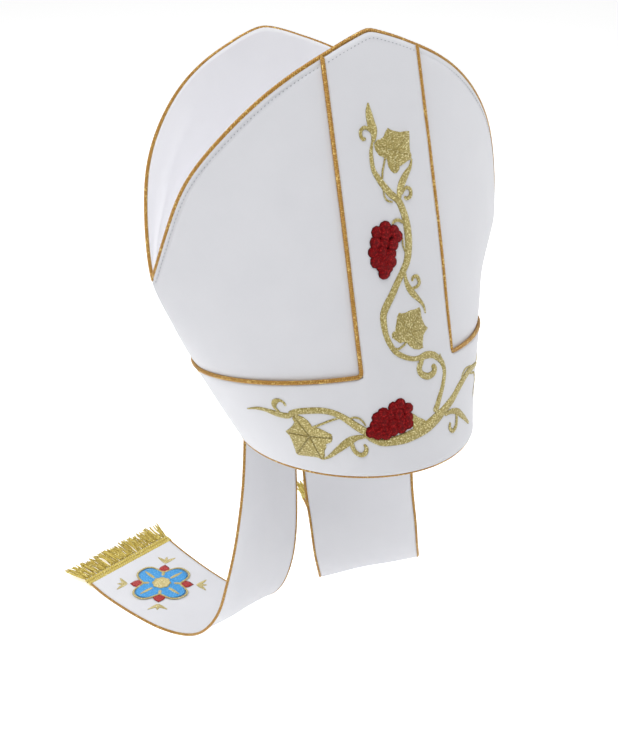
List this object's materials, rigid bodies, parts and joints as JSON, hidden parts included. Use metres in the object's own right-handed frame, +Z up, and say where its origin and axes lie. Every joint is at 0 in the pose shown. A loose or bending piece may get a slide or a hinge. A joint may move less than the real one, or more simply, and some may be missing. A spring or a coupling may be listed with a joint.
{
  "type": "bishop mitre",
  "caption": "White cloth mitre with two pointed horns, gold piping, a grape vine embroidered up the front band, and fringed lappets.",
  "frame": {"origin": "centre of the rim opening, level with the side seams, where the wearer's head goes in", "axes": "+Z up, -Y to the wearer's front, -X to the wearer's right; the hat is tipped back 10 degrees as worn"},
  "size_m": [0.3642, 0.3636, 0.5428],
  "materials": {
    "white_cloth": "smooth woven cloth over a stiff interlining",
    "lining_cloth": "smooth lining cloth",
    "gold_piping": "metallic yarn wound round a cord",
    "gold_thread": "satin stitch",
    "grape_thread": "satin stitch",
    "blue_thread": "satin stitch",
    "red_thread": "satin stitch",
    "fringe_thread": "loose twisted yarn"
  },
  "bodies": {
    "root": {"front_horn": "white_cloth", "back_horn": "white_cloth", "crown_gusset": "lining_cloth", "front_band": "white_cloth", "back_band": "white_cloth", "front_edge_piping": "gold_piping", "back_edge_piping": "gold_piping", "front_band_piping_right": "gold_piping", "front_band_piping_left": "gold_piping", "back_band_piping_right": "gold_piping", "back_band_piping_left": "gold_piping", "rim_piping": "gold_piping", "lappet_right": "white_cloth", "lappet_left": "white_cloth", "lappet_right_piping_outer": "gold_piping", "lappet_right_piping_inner": "gold_piping", "lappet_left_piping_outer": "gold_piping", "lappet_left_piping_inner": "gold_piping", "fringe_right": "fringe_thread", "fringe_left": "fringe_thread", "lappet_right_star": "red_thread", "lappet_right_petals": "blue_thread", "lappet_right_boss": "gold_thread", "lappet_left_star": "red_thread", "lappet_left_petals": "blue_thread", "lappet_left_boss": "gold_thread", "vine_stem": "gold_thread", "vine_stem_curl": "gold_thread", "vine_base_stem": "gold_thread", "vine_branch_left": "gold_thread", "vine_leaflet_top": "gold_thread", "vine_leaflet_middle": "gold_thread", "vine_leaflet_left": "gold_thread", "vine_leaflet_right": "gold_thread", "vine_bud_top": "gold_thread", "vine_bud_left": "gold_thread", "vine_bud_right": "gold_thread", "vine_leaf_top": "gold_thread", "vine_leaf_middle": "gold_thread", "vine_leaf_left": "gold_thread", "vine_grapes_upper": "grape_thread", "vine_grapes_base": "grape_thread"}
  },
  "joints": []
}
